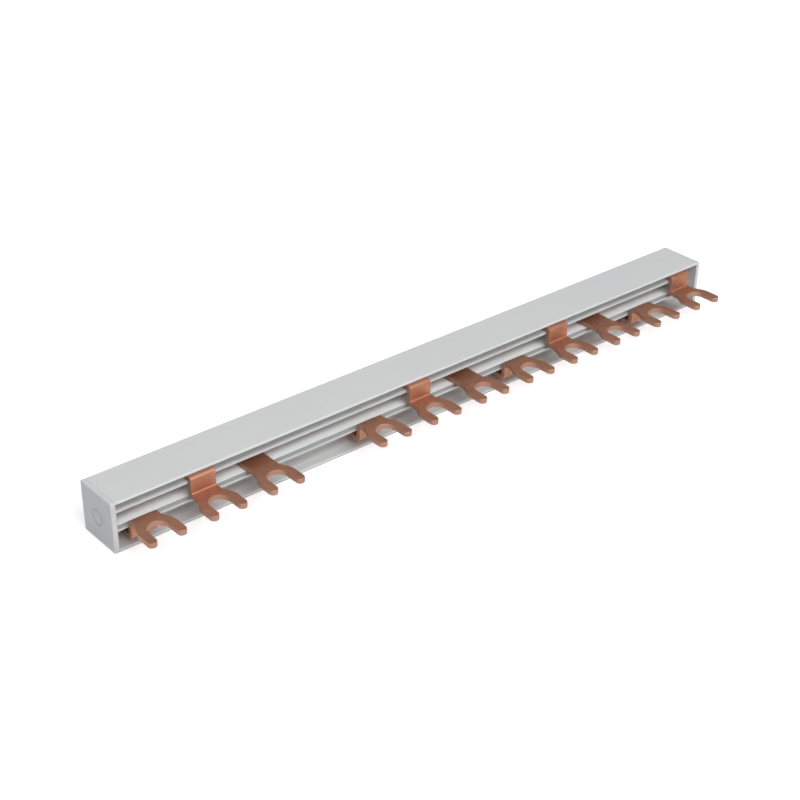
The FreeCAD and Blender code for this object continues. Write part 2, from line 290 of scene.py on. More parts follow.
class Pen:
    """Draws a closed outline as by hand: one point is extruded along lines and spun along arcs."""

    def __init__(self, name: str, sheet: Sheet, off: float, start: Vector) -> None:
        """Put the first point down.

        Args:
            name: the name of the new piece.
            sheet: the plane that the outline lies in.
            off: the plane's distance from the origin, in millimetres.
            start: where the outline starts in its plane, in millimetres.
        """
        self.sheet = sheet
        self.off = off
        self.at = start.copy()
        take()
        bpy.ops.mesh.primitive_plane_add(size=MM)
        self.piece = bpy.context.object
        self.piece.name = name
        bpy.ops.object.mode_set(mode="EDIT")
        bpy.ops.mesh.select_mode(type="VERT")
        bpy.ops.mesh.merge(type="CENTER")
        bpy.ops.transform.translate(value=sheet.place(*start, off))

    def line_to(self, spot: Vector) -> None:
        """Draw a straight line to a point in the plane, in millimetres."""
        way = self.sheet.place(*spot, self.off) - self.sheet.place(*self.at, self.off)
        if way.length > WELD:
            pull(way)
        self.at = spot.copy()

    def arc(self, centre: Vector, degrees: float, step: float = 12.0) -> None:
        """Draw an arc that turns left for a positive angle.

        Args:
            centre: the arc's centre in the plane, in millimetres.
            degrees: how far it turns.
            step: the largest turn between two straight runs, in degrees.
        """
        steps = max(2, math.ceil(abs(degrees) / step))
        bpy.ops.mesh.spin(steps=steps, angle=-math.radians(degrees),
                          center=self.sheet.place(*centre, self.off), axis=self.sheet.value)
        turned = self.at - centre
        turned.rotate(Matrix.Rotation(math.radians(degrees), 2))
        self.at = centre + turned

    def trace(self, corners: Sequence[Corner], step: float = 24.0) -> None:
        """Draw an outline through corners that are rounded where they have a radius.

        Args:
            corners: the corners in order, the first being where the pen stands.
            step: the largest turn between two straight runs of a rounding, in degrees.
        """
        for i in range(1, len(corners)):
            here = corners[i].spot()
            inward = (here - corners[i - 1].spot()).normalized()
            outward = (corners[(i + 1) % len(corners)].spot() - here).normalized()
            turn = math.atan2(inward.cross(outward), inward.dot(outward))
            cut = corners[i].radius * math.tan(abs(turn) / 2)
            self.line_to(here - inward * cut)
            if cut:
                side = Vector((-inward.y, inward.x)) * math.copysign(corners[i].radius, turn)
                self.arc(self.at + side, math.degrees(turn), step=step)

    def close(self) -> bpy.types.Object:
        """Join the outline's ends and fill it.

        Returns:
            The new piece, still in edit mode, with its one face selected.
        """
        bpy.ops.mesh.select_all(action="SELECT")
        bpy.ops.mesh.remove_doubles(threshold=WELD)
        bpy.ops.mesh.edge_face_add()
        return self.piece

    def thicken(self, way: Vector) -> bpy.types.Object:
        """Join the outline's ends, fill it and pull it out into a solid.

        Args:
            way: the way and the thickness, in metres.

        Returns:
            The new piece, in object mode.
        """
        piece = self.close()
        pull(way)
        weld()
        bpy.ops.object.mode_set(mode="OBJECT")
        return piece


# The node groups and the finishes.


class NodeBench:
    """Places and wires the nodes of one node tree."""

    def __init__(self, tree: bpy.types.NodeTree) -> None:
        """Start on an empty tree.

        Args:
            tree: the tree that the nodes go in.
        """
        self.tree = tree
        tree.nodes.clear()

    def put(self, kind: str, inputs: dict[str | int, Setting] | None = None,
            **settings: object) -> bpy.types.Node:
        """Place a node, set what is plain and link what is a socket.

        Args:
            kind: the node's type, without its ShaderNode prefix.
            inputs: what goes into each input, by name or number.
            settings: the node's own properties.

        Returns:
            The node.
        """
        prefix = "" if kind.startswith("Node") else "ShaderNode"
        node = self.tree.nodes.new(prefix + kind)
        for name, value in settings.items():
            setattr(node, name, value)
        for key, value in (inputs or {}).items():
            if isinstance(value, Socket):
                self.tree.links.new(value, node.inputs[key])
            else:
                node.inputs[key].default_value = value
        return node

    def math(self, operation: str, first: Setting, second: Setting,
             clamp: bool = False) -> Socket:
        """Do one sum on two values.

        Args:
            operation: the sum, as Blender names it.
            first: its first value.
            second: its second value.
            clamp: if the result is held between 0 and 1.

        Returns:
            The result's socket.
        """
        return self.put("Math", {0: first, 1: second}, operation=operation,
                        use_clamp=clamp).outputs[0]

    def times(self, first: Setting, *others: Setting) -> Setting:
        """Multiply values, one after the other."""
        for other in others:
            first = self.math("MULTIPLY", first, other)
        return first

    def place(self) -> Socket:
        """The place on the piece, in the piece's own coordinates."""
        return self.put("TexCoord").outputs["Object"]

    def noise(self, scale: Setting, detail: Setting, roughness: float = 0.5,
              distortion: float = 0.0, where: Socket | None = None) -> Socket:
        """Noise that is fixed to the piece.

        Args:
            scale: its patches to the metre.
            detail: its finer layers.
            roughness: how strong each finer layer is.
            distortion: how far the patches are bent.
            where: the place that it is read at, if not the plain one.

        Returns:
            The noise's socket.
        """
        return self.put("TexNoise", {
            "Vector": self.place() if where is None else where, "Scale": scale,
            "Detail": detail, "Roughness": roughness, "Distortion": distortion}).outputs[0]

    def spread(self, value: Setting, low: Setting, high: Setting,
               to_low: float = 0.0, to_high: float = 1.0) -> Socket:
        """Stretch a span of values onto another one, softly, and hold it there.

        Args:
            value: the value.
            low: where the span starts.
            high: where the span ends.
            to_low: what the start becomes.
            to_high: what the end becomes.

        Returns:
            The stretched value's socket.
        """
        node = self.put("MapRange", {"Value": value, "From Min": low, "From Max": high,
                                     "To Min": to_low, "To Max": to_high},
                        interpolation_type="SMOOTHSTEP")
        return node.outputs[0]

    def blend(self, share: Setting, first: Setting, second: Setting) -> Socket:
        """Mix two colours.

        Args:
            share: how much of the second colour, from 0 to 1.
            first: the first colour.
            second: the second colour.

        Returns:
            The mixed colour's socket.
        """
        return self.put("Mix", {0: share, 6: first, 7: second}, data_type="RGBA").outputs[2]


class SharedEffect(ABC):
    """A node group that several finishes use, built once."""

    name: str
    inputs: dict[str, float]
    output: str

    def group(self) -> bpy.types.NodeTree:
        """Give the node group, which is built on its first use.

        Returns:
            The group's tree.
        """
        found = bpy.data.node_groups.get(self.name)
        if found:
            return found
        tree = bpy.data.node_groups.new(self.name, "ShaderNodeTree")
        for label, value in self.inputs.items():
            tree.interface.new_socket(label, in_out="INPUT", socket_type="NodeSocketFloat")
            tree.interface.items_tree[label].default_value = value
        tree.interface.new_socket(self.output, in_out="OUTPUT", socket_type="NodeSocketFloat")
        bench = NodeBench(tree)
        given = bench.put("NodeGroupInput")
        bench.put("NodeGroupOutput", {self.output: self.wire(bench, given.outputs)})
        return tree

    @abstractmethod
    def wire(self, bench: NodeBench, given: Sockets) -> Socket:
        """Wire the group between its inputs and its output.

        Args:
            bench: the group's bench.
            given: the group's input sockets.

        Returns:
            The socket that goes to the output.
        """

    def on(self, bench: NodeBench, **values: float) -> Socket:
        """Place the group in a material.

        Args:
            bench: the material's bench.
            values: the group's inputs, with _ for a space.

        Returns:
            The group's output socket.
        """
        node = bench.put("Group", node_tree=self.group())
        for label, value in values.items():
            node.inputs[label.replace("_", " ")].default_value = value
        return node.outputs[self.output]


class EdgeWearAndHighlight(SharedEffect):
    """Where handling has polished the edges, with a painted highlight along them: strongest on the
    sharpest ones, and broken up.
    """

    name = "edge_wear"
    inputs = {"Reach": 0.0003, "Strength": 3.0, "Patchiness": 180.0}
    output = "Wear"

    def wire(self, bench: NodeBench, given: Sockets) -> Socket:
        """See SharedEffect.wire."""
        rounded = bench.put("Bevel", {"Radius": given["Reach"]}, samples=6)
        real = bench.put("NewGeometry")
        match = bench.put("VectorMath", {0: rounded.outputs[0], 1: real.outputs["Normal"]},
                          operation="DOT_PRODUCT")
        turn = bench.math("SUBTRACT", 1.0, match.outputs["Value"])
        patches = bench.noise(given["Patchiness"], detail=3.0)
        broken = bench.spread(patches, 0.3, 0.62, to_low=0.35)
        return bench.math("MULTIPLY", bench.times(turn, given["Strength"]), broken, clamp=True)


class LengthwiseLines(SharedEffect):
    """Fine lines along X, as a die leaves on a profile and rolls leave on sheet."""

    name = "lengthwise_lines"
    inputs = {"Lines per metre": 2500.0, "Length share": 0.02, "Detail": 3.0}
    output = "Height"

    def wire(self, bench: NodeBench, given: Sockets) -> Socket:
        """See SharedEffect.wire."""
        stretch = bench.put("CombineXYZ", {0: given["Length share"], 1: 1.0, 2: 1.0})
        drawn = bench.put("VectorMath", {0: bench.place(), 1: stretch.outputs[0]},
                          operation="MULTIPLY")
        return bench.noise(given["Lines per metre"], given["Detail"], roughness=0.6,
                           where=drawn.outputs[0])


class Grain(SharedEffect):
    """Even grain with no direction, such as a spark-eroded mould leaves."""

    name = "mould_grain"
    inputs = {"Grains per metre": 4000.0, "Detail": 2.0}
    output = "Height"

    def wire(self, bench: NodeBench, given: Sockets) -> Socket:
        """See SharedEffect.wire."""
        return bench.noise(given["Grains per metre"], given["Detail"], roughness=0.7)


class Clouding(SharedEffect):
    """Slow unevenness of a surface's tint, gloss or tarnish."""

    name = "clouding"
    inputs = {"Patches per metre": 30.0, "Detail": 4.0, "Contrast": 0.2}
    output = "Cloud"

    def wire(self, bench: NodeBench, given: Sockets) -> Socket:
        """See SharedEffect.wire."""
        cloud = bench.noise(given["Patches per metre"], given["Detail"], roughness=0.55,
                            distortion=0.4)
        low = bench.math("SUBTRACT", 0.5, given["Contrast"])
        high = bench.math("ADD", 0.5, given["Contrast"])
        return bench.spread(cloud, low, high)


class Dust(SharedEffect):
    """Fine dust that settles on what faces up."""

    name = "settled_dust"
    inputs = {"Specks per metre": 900.0, "Cover": 0.5}
    output = "Dust"

    def wire(self, bench: NodeBench, given: Sockets) -> Socket:
        """See SharedEffect.wire."""
        facing = bench.put("SeparateXYZ", {0: bench.put("NewGeometry").outputs["Normal"]})
        level = bench.spread(facing.outputs[2], 0.5, 0.98)
        specks = bench.noise(given["Specks per metre"], detail=5.0, roughness=0.75)
        return bench.times(bench.spread(specks, 0.42, 0.72), level, given["Cover"])


class LengthwisePaintedLightAndShade(SharedEffect):
    """A band along X, between two heights and behind a lip, where painted light and shade are laid
    on the profile's colour.
    """

    name = "lengthwise_band"
    inputs = {"Low": 0.0, "High": 0.0, "Lip": 0.0, "Depth": 0.001, "Fade": 0.0001,
              "Run out": 0.0001}
    output = "Cover"

    def wire(self, bench: NodeBench, given: Sockets) -> Socket:
        """See SharedEffect.wire."""
        _, back, up = bench.put("SeparateXYZ", {0: bench.place()}).outputs
        end = bench.math("ADD", given["Lip"], given["Depth"])
        fade = given["Fade"]
        limits = ((up, given["Low"], fade), (given["High"], up, fade),
                  (back, given["Lip"], fade), (end, back, given["Run out"]))
        shares = [bench.math("DIVIDE", bench.math("SUBTRACT", more, less), reach)
                  for more, less, reach in limits]
        broken = bench.spread(bench.noise(90.0, detail=4.0), 0.3, 0.7, to_low=0.86)
        return bench.times(*(bench.spread(share, 0.0, 1.0) for share in shares), broken)


EDGE_WEAR_AND_HIGHLIGHT = EdgeWearAndHighlight()
LINES = LengthwiseLines()
PAINTED_LIGHT_AND_SHADE = LengthwisePaintedLightAndShade()
GRAIN = Grain()
CLOUDING = Clouding()
DUST = Dust()

def srgb(red: int, green: int, blue: int) -> Colour:
    """Turn a screen colour from 0 to 255 into the linear one that shaders take.

    Args:
        red: the red part.
        green: the green part.
        blue: the blue part.

    Returns:
        The linear colour, fully opaque.
    """
    def linear(part: int) -> float:
        share = part / 255
        return share / 12.92 if share <= 0.04045 else ((share + 0.055) / 1.055) ** 2.4

    return (linear(red), linear(green), linear(blue), 1.0)


@dataclass(frozen=True)
class Coat:
    """What a finish gives its shader."""

    tint: Socket
    roughness: Socket
    height: Socket
    relief: float
    strength: float = 0.5
    metallic: float = 0.0


class Finish(ABC):
    """A surface finish of the busbar, made into a material on its first use."""

    slot: Slot

    def material(self) -> bpy.types.Material:
        """Give the finish's material, which is built on its first use.

        Returns:
            The material.
        """
        name = f"{self.slot.value}_finish"
        found = bpy.data.materials.get(name)
        if found:
            return found
        made = bpy.data.materials.new(name)
        made.use_nodes = True
        bench = NodeBench(made.node_tree)
        coat = self.coat(bench)
        bump = bench.put("Bump", {"Height": coat.height, "Strength": coat.strength,
                                  "Distance": coat.relief})
        shader = bench.put("BsdfPrincipled", {
            "Base Color": coat.tint, "Roughness": coat.roughness, "Metallic": coat.metallic,
            "IOR": 1.5, "Normal": bump.outputs[0]})
        bench.put("OutputMaterial", {"Surface": shader.outputs[0]})
        return made

    @abstractmethod
    def coat(self, bench: NodeBench) -> Coat:
        """Wire the finish's nodes.

        Args:
            bench: the material's bench.

        Returns:
            What goes into the shader.
        """


@dataclass(frozen=True)
class LightAndShadeBand:
    """A band along the profile with painted light and shade, in millimetres: from one height to
    another, from a lip back.
    """

    low: float
    high: float
    lip: float
    depth: float
    tint: Colour
    fade: float = 0.1
    run_out: float = 0.1

    def cover(self, bench: NodeBench) -> Socket:
        """How far the band covers a place, from 0 to 1."""
        return PAINTED_LIGHT_AND_SHADE.on(bench, Low=self.low * MM, High=self.high * MM, Lip=self.lip * MM,
                       Depth=self.depth * MM, Fade=self.fade * MM, Run_out=self.run_out * MM)


@dataclass(frozen=True)
class ExtrudedPlastic(Finish):
    """Satin light-grey plastic from an extrusion die: faint lines along it, paler worn edges, and
    painted light and shade in bands along its recesses.
    """

    slot: Slot = Slot.PROFILE
    tint: Colour = srgb(207, 209, 209)
    deep_tint: Colour = srgb(201, 203, 204)
    worn_tint: Colour = srgb(222, 223, 223)
    dust_tint: Colour = srgb(214, 213, 209)
    # Painted light and shade along the profile, in order: painted shade on the step's face,
    # painted shade on the upper rib's top, painted light on the middle floor behind the step,
    # painted light on the base plate inside, and painted shade on the base plate's lower front
    # edge.
    painted_light_and_shade_bands: tuple[LightAndShadeBand, ...] = (
        LightAndShadeBand(6.44, 7.64, -7.06, 1.3, srgb(154, 157, 157)),
        LightAndShadeBand(11.92, 13.0, -7.1, 1.3, srgb(168, 171, 171)),
        LightAndShadeBand(7.52, 7.8, -6.6, 4.9, srgb(236, 238, 238), fade=0.08, run_out=2.8),
        LightAndShadeBand(0.1, 1.7, -4.9, 6.0, srgb(220, 222, 222), fade=0.7),
        LightAndShadeBand(-0.3, 0.6, -7.4, 1.0, srgb(168, 170, 170), fade=0.2),
    )
    wear_and_highlight_share: float = 0.55
    roughness: float = 0.42
    relief: float = 0.006 * MM

    def coat(self, bench: NodeBench) -> Coat:
        """See Finish.coat."""
        cloud = CLOUDING.on(bench, Patches_per_metre=22.0, Contrast=0.25)
        lines = LINES.on(bench, Lines_per_metre=1400.0, Length_share=0.012)
        fine = LINES.on(bench, Lines_per_metre=5200.0, Length_share=0.03, Detail=2.0)
        wear_and_highlight = EDGE_WEAR_AND_HIGHLIGHT.on(bench, Reach=0.22 * MM, Strength=1.6, Patchiness=260.0)
        dust = DUST.on(bench, Specks_per_metre=1300.0, Cover=0.22)
        shade = bench.times(bench.math("ADD", cloud, lines), 0.5)
        body = bench.blend(shade, self.tint, self.deep_tint)
        worn = bench.blend(bench.times(wear_and_highlight, self.wear_and_highlight_share), body, self.worn_tint)
        tint = bench.blend(dust, worn, self.dust_tint)
        # Each band lays its painted light or painted shade over the tint.
        for band in self.painted_light_and_shade_bands:
            tint = bench.blend(band.cover(bench), tint, band.tint)
        streaks = bench.spread(lines, 0.3, 0.7, self.roughness - 0.05, self.roughness + 0.06)
        roughness = bench.math("ADD", streaks, bench.times(dust, 0.25))
        height = bench.math("ADD", lines, bench.times(fine, 0.4))
        return Coat(tint, roughness, height, self.relief)


@dataclass(frozen=True)
class MouldedPlastic(Finish):
    """Matt light-grey moulded plastic with an even grain, and a trace of gloss on its edges."""

    slot: Slot = Slot.CAP
    tint: Colour = srgb(204, 205, 206)
    deep_tint: Colour = srgb(197, 198, 200)
    worn_tint: Colour = srgb(216, 217, 217)
    wear_and_highlight_share: float = 0.5
    roughness: float = 0.5
    relief: float = 0.012 * MM

    def coat(self, bench: NodeBench) -> Coat:
        """See Finish.coat."""
        cloud = CLOUDING.on(bench, Patches_per_metre=90.0, Contrast=0.22)
        grain = GRAIN.on(bench, Grains_per_metre=3600.0, Detail=2.0)
        wear_and_highlight = EDGE_WEAR_AND_HIGHLIGHT.on(bench, Reach=0.3 * MM, Strength=1.6, Patchiness=400.0)
        dust = DUST.on(bench, Specks_per_metre=1500.0, Cover=0.2)
        body = bench.blend(cloud, self.tint, self.deep_tint)
        pits = bench.math("SUBTRACT", 1.0, bench.spread(grain, 0.28, 0.5))
        grained = bench.blend(bench.times(pits, 0.4), body, self.deep_tint)
        worn = bench.blend(bench.times(wear_and_highlight, self.wear_and_highlight_share), grained, self.worn_tint)
        matt = bench.spread(grain, 0.3, 0.7, self.roughness + 0.07, self.roughness - 0.06)
        polished = bench.math("SUBTRACT", matt, bench.times(wear_and_highlight, 0.1))
        roughness = bench.math("ADD", polished, bench.times(dust, 0.2))
        return Coat(worn, roughness, grain, self.relief, strength=0.45)


@dataclass(frozen=True)
class BareCopper(Finish):
    """Bare rolled copper: a little tarnished, with rolling lines, duller, paler cut faces, and
    paler rubbed edges that are partly a painted highlight.
    """

    cut_mark: ClassVar[str] = "die_cut"
    slot: Slot = Slot.COPPER
    clean: Colour = srgb(200, 147, 122)
    aged: Colour = srgb(188, 136, 112)
    stained: Colour = srgb(164, 115, 94)
    # Paler edge tint: partly wear, partly a painted highlight.
    rubbed_and_highlit: Colour = srgb(230, 184, 158)
    cut: Colour = srgb(182, 145, 127)
    wear_and_highlight_share: float = 0.75
    cut_share: float = 0.85
    roughness: float = 0.52
    cut_roughness: float = 0.58
    relief: float = 0.01 * MM

    def coat(self, bench: NodeBench) -> Coat:
        """See Finish.coat."""
        cut = bench.put("Attribute", attribute_name=self.cut_mark).outputs["Fac"]
        tarnish = CLOUDING.on(bench, Patches_per_metre=110.0, Contrast=0.2)
        spots = CLOUDING.on(bench, Patches_per_metre=420.0, Detail=5.0, Contrast=0.12)
        lines = LINES.on(bench, Lines_per_metre=2600.0, Length_share=0.05)
        tearing = GRAIN.on(bench, Grains_per_metre=5000.0, Detail=3.0)
        wear_and_highlight = EDGE_WEAR_AND_HIGHLIGHT.on(bench, Reach=0.28 * MM, Strength=3.0, Patchiness=350.0)
        body = bench.blend(tarnish, self.clean, self.aged)
        speckled = bench.blend(bench.times(spots, tarnish, 0.5), body, self.stained)
        rolled = bench.blend(bench.spread(lines, 0.35, 0.65, to_high=0.3), speckled, self.aged)
        sheared = bench.blend(bench.times(cut, self.cut_share), rolled, self.cut)
        # The rubbed tint on the edges is partly wear and partly a painted highlight.
        rubbed_and_highlit = bench.blend(bench.times(wear_and_highlight, self.wear_and_highlight_share), sheared, self.rubbed_and_highlit)
        dulled = bench.spread(tarnish, 0.0, 1.0, self.roughness - 0.03, self.roughness + 0.06)
        streaked = bench.math("ADD", dulled, bench.spread(lines, 0.3, 0.7, -0.03, 0.05))
        duller = bench.times(cut, self.cut_roughness - self.roughness)
        roughness = bench.math("SUBTRACT", bench.math("ADD", streaked, duller),
                               bench.times(wear_and_highlight, 0.1))
        height = bench.math("ADD", lines, bench.times(cut, tearing))
        return Coat(rubbed_and_highlit, roughness, height, self.relief, metallic=1.0)


# The pieces of the busbar.


class BusbarPiece(ABC):
    """One separate piece of the busbar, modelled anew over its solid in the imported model."""

    node: str
    finish: Finish

    @abstractmethod
    def model(self) -> bpy.types.Object:
        """Model the piece.

        Returns:
            The piece, in object mode, with its place in its mesh.
        """

    def make(self) -> bpy.types.Object:
        """Model the piece, dress it and let it stand for its node.

        Returns:
            The finished piece.
        """
        piece = self.model()
        piece.data.name = piece.name
        piece.data.materials.clear()
        piece.data.materials.append(self.finish.material())
        smooth(piece)
        self.check(piece)
        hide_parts(self.node)
        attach(piece, BODY)
        return piece

    def check(self, piece: bpy.types.Object) -> None:
        """Stop if the piece is open or isn't where its node is.

        Args:
            piece: the modelled piece.

        Raises:
            ValueError: the piece has open edges or another box than its node.
        """
        leaks = open_edges(piece)
        corners = [vertex.co for vertex in piece.data.vertices]
        low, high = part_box(self.node)
        off = max(abs(pick(corner[i] for corner in corners) - bound[i])
                  for pick, bound in ((min, low), (max, high)) for i in range(3))
        triangles = sum(len(face.vertices) - 2 for face in piece.data.polygons)
        log.info("%s: %d triangles, %d open edges, %.4f mm off %s",
                 piece.name, triangles, leaks, off / MM, self.node)
        if leaks or off > FIT:
            raise ValueError(f"{piece.name} doesn't match {self.node}")


@dataclass
class HousingProfile(BusbarPiece):
    """Extruded profile: base, back wall and top, with two ribs that part three levels."""

    node: str = "housing_profile"
    finish: Finish = field(default_factory=ExtrudedPlastic)
    base_plate: float = 0.9
    back_wall: float = 1.0
    ceiling: float = 13.9
    upper_rib: tuple[float, float] = (11.3, 12.3)
    middle_floor: tuple[float, float] = (5.9, 7.6)
    rib_setback: float = 0.2
    rebate_base: float = 6.65
    rebate_depth: float = 0.45
    rebate_undercut: float = 0.25
    rails: tuple[float, float] = (-0.9, 4.1)
    rail_width: float = 0.8
    rail_top: float = 2.9
    lower_nib: float = 4.5
    middle_nib: float = 9.2
    outer_radius: float = 0.4
    nose_radius: float = 0.25
    inner_radius: float = 0.2
    lip_radius: float = 0.09
    relief_length: float = 6.0
    relief_depth: float = 4.2
    end_chamfer: float = 0.08

    def guides(self, root: float, tip: float) -> list[Corner]:
        """The two rails or nibs on a plate, drawn from the front to the back.

        Args:
            root: the height of the plate's face.
            tip: the height of their tips.

        Returns:
            Their corners.
        """
        corners = []
        for front in self.rails:
            back = front + self.rail_width
            corners += [Corner(front, root, self.inner_radius),
                        Corner(front, tip, self.nose_radius),
                        Corner(back, tip, self.nose_radius),
                        Corner(back, root, self.inner_radius)]
        return corners

    def section(self, front: float, back: float, top: float) -> list[Corner]:
        """The profile's section, once round.

        Args:
            front: the open front's place.
            back: the back face's place.
            top: the top face's height.

        Returns:
            Its corners, from the bottom at the front, turning left.
        """
        wall = back - self.back_wall
        nose = front + self.rib_setback
        rebate = nose + self.rebate_depth
        rib_low, rib_high = self.upper_rib
        floor_low, floor_high = self.middle_floor
        outer, round_nose, inner = self.outer_radius, self.nose_radius, self.inner_radius
        return [
            Corner(0.0, 0.0),
            Corner(back, 0.0, outer),
            Corner(back, top, outer),
            Corner(front, top, outer),
            Corner(front, self.ceiling, self.lip_radius),
            Corner(wall, self.ceiling, inner),
            Corner(wall, rib_high, inner),
            Corner(nose, rib_high, round_nose),
            Corner(nose, rib_low, round_nose),
            *self.guides(rib_low, self.middle_nib),
            Corner(wall, rib_low, inner),
            Corner(wall, floor_high, inner),
            Corner(rebate, floor_high, self.lip_radius),
            Corner(rebate + self.rebate_undercut, self.rebate_base, self.lip_radius),
            Corner(nose, self.rebate_base, round_nose),
            Corner(nose, floor_low, round_nose),
            *self.guides(floor_low, self.lower_nib),
            Corner(wall, floor_low, inner),
            Corner(wall, self.base_plate, inner),
            *reversed(self.guides(self.base_plate, self.rail_top)),
            Corner(front, self.base_plate, round_nose),
            Corner(front, 0.0, outer),
        ]

    def model(self) -> bpy.types.Object:
        """See BusbarPiece.model."""
        low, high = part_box(self.node)
        left, front, _ = low / MM
        right, back, top = high / MM
        step = right - self.relief_length
        pen = Pen("housing_profile_extrusion", Sheet.SECTION, left, Vector((0.0, 0.0)))
        pen.trace(self.section(front, back, top))
        piece = pen.close()
        pull(mm(step - left, 0, 0))
        weld()

        # Beside the last fork both ribs end early; base, top and back wall run on.
        cut = front + self.relief_depth
        select_faces(lambda middle, _: near(middle.x, step))
        bpy.ops.mesh.bisect(plane_co=mm(0, cut, 0), plane_no=(0, 1, 0))
        plates = (self.base_plate * MM, self.ceiling * MM)
        select_faces(lambda middle, _: near(middle.x, step) and (
            middle.y > cut * MM or middle.z < plates[0] or middle.z > plates[1]))
        pull(mm(self.relief_length, 0, 0))
        weld()
        select_edges_at(left, right)
        round_edges(self.end_chamfer, segments=2)
        bpy.ops.object.mode_set(mode="OBJECT")
        return piece


@dataclass
class EndCap(BusbarPiece):
    """Moulded cap: a plate flush with the profile, a ring mark and three tongues."""

    end: End
    finish: Finish = field(default_factory=MouldedPlastic)
    thickness: float = 1.4
    edge_radius: float = 0.4
    seam_radius: float = 0.14
    ring: tuple[float, float] = (1.95, 2.45)
    ring_depth: float = 0.2
    ring_rounding: float = 0.06
    sides: int = 64
    tongue_depth: tuple[float, float] = (-2.0, 6.0)
    levels: tuple[float, ...] = (2.95, 7.65, 12.35)
    tongue_height: float = 1.5

    @property
    def node(self) -> str:
        """The name of the cap's node."""
        return f"{self.end.name.lower()}_end_cap"

    def plate(self, outer: float, low: Vector, high: Vector) -> bpy.types.Object:
        """Model the plate: its face with the ring groove, its rim and its inner face.

        Args:
            outer: the outer face's place along X.
            low: the lowest corner of the cap, in millimetres.
            high: the highest corner of the cap, in millimetres.

        Returns:
            The plate, in edit mode.
        """
        inward = -self.end.value
        middle = (low + high) / 2
        take()
        bpy.ops.mesh.primitive_plane_add(size=MM)
        piece = bpy.context.object
        piece.name = f"{self.node}_moulding"
        bpy.ops.object.mode_set(mode="EDIT")
        bpy.ops.mesh.select_all(action="SELECT")
        bpy.ops.transform.rotate(value=math.pi / 2, orient_axis="Y", center_override=(0, 0, 0))
        bpy.ops.transform.resize(value=(1, high.y - low.y, high.z - low.z),
                                 center_override=(0, 0, 0))
        bpy.ops.transform.translate(value=mm(outer, middle.y, middle.z))
        bpy.ops.mesh.delete(type="ONLY_FACE")
        bpy.ops.mesh.select_mode(type="EDGE")
        bpy.ops.mesh.select_all(action="SELECT")
        bpy.ops.mesh.subdivide(number_cuts=self.sides // 4 - 1)

        # The rim goes back to the inner face, which is filled.
        pull(mm(inward * self.thickness, 0, 0))
        bpy.ops.mesh.edge_face_add()

        # A circle is bridged to the outline from one millimetre off, and then laid in its face.
        off = outer - inward
        bpy.ops.mesh.select_all(action="DESELECT")
        bpy.ops.mesh.primitive_circle_add(
            vertices=self.sides, radius=self.ring[1] * MM, rotation=(0, math.pi / 2, 0),
            location=mm(off, middle.y, middle.z))
        select_edges_at(outer, off)
        bpy.ops.mesh.bridge_edge_loops()
        select_edges_at(off)
        bpy.ops.transform.translate(value=mm(inward, 0, 0))

        # The ring groove: in, across and out again, and then the round island is filled.
        pull(mm(inward * self.ring_depth, 0, 0))
        pull(Vector((0, 0, 0)))
        share = self.ring[0] / self.ring[1]
        bpy.ops.transform.resize(value=(1, share, share),
                                 center_override=mm(outer, middle.y, middle.z))
        pull(mm(-inward * self.ring_depth, 0, 0))
        bpy.ops.mesh.edge_face_add()
        weld()
        return piece

    def model(self) -> bpy.types.Object:
        """See BusbarPiece.model."""
        low, high = (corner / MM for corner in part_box(self.node))
        outer = high.x if self.end is End.RIGHT else low.x
        tongue_end = low.x if self.end is End.RIGHT else high.x
        inner = outer - self.end.value * self.thickness
        piece = self.plate(outer, low, high)

        def on_outline(point: Vector) -> bool:
            """Tell if a point lies on the plate's outline."""
            return (near(point.y, low.y) or near(point.y, high.y)
                    or near(point.z, low.z) or near(point.z, high.z))

        def is_rounded(one: Vector, other: Vector) -> bool:
            """Tell if an edge lies round the face, or is a corner of the rim."""
            corner = all(near(p.y, low.y) or near(p.y, high.y) for p in (one, other)) and all(
                near(p.z, low.z) or near(p.z, high.z) for p in (one, other))
            face = near(one.x, outer) and near(other.x, outer)
            return corner or (face and on_outline(one) and on_outline(other))

        select_edges(is_rounded)
        round_edges(self.edge_radius, segments=5)
        weld()
        select_edges_at(inner)
        round_edges(self.seam_radius, segments=2)

        # Each strip's track gets a tongue.
        heights = [place for level in self.levels for place in (level, level + self.tongue_height)]
        cuts = [(mm(0, place, 0), Vector((0, 1, 0))) for place in self.tongue_depth]
        cuts += [(mm(0, 0, place), Vector((0, 0, 1))) for place in heights]
        for spot, facing in cuts:
            select_faces(lambda middle, _: near(middle.x, inner))
            bpy.ops.mesh.bisect(plane_co=spot, plane_no=facing)

        def is_tongue(middle: Vector, _: Vector) -> bool:
            """Tell if a face of the inner side is a tongue's root."""
            in_depth = self.tongue_depth[0] * MM < middle.y < self.tongue_depth[1] * MM
            return near(middle.x, inner) and in_depth and any(
                level * MM < middle.z < (level + self.tongue_height) * MM for level in self.levels)

        select_faces(is_tongue)
        pull(mm(tongue_end - inner, 0, 0))
        weld()
        bpy.ops.object.mode_set(mode="OBJECT")
        return piece


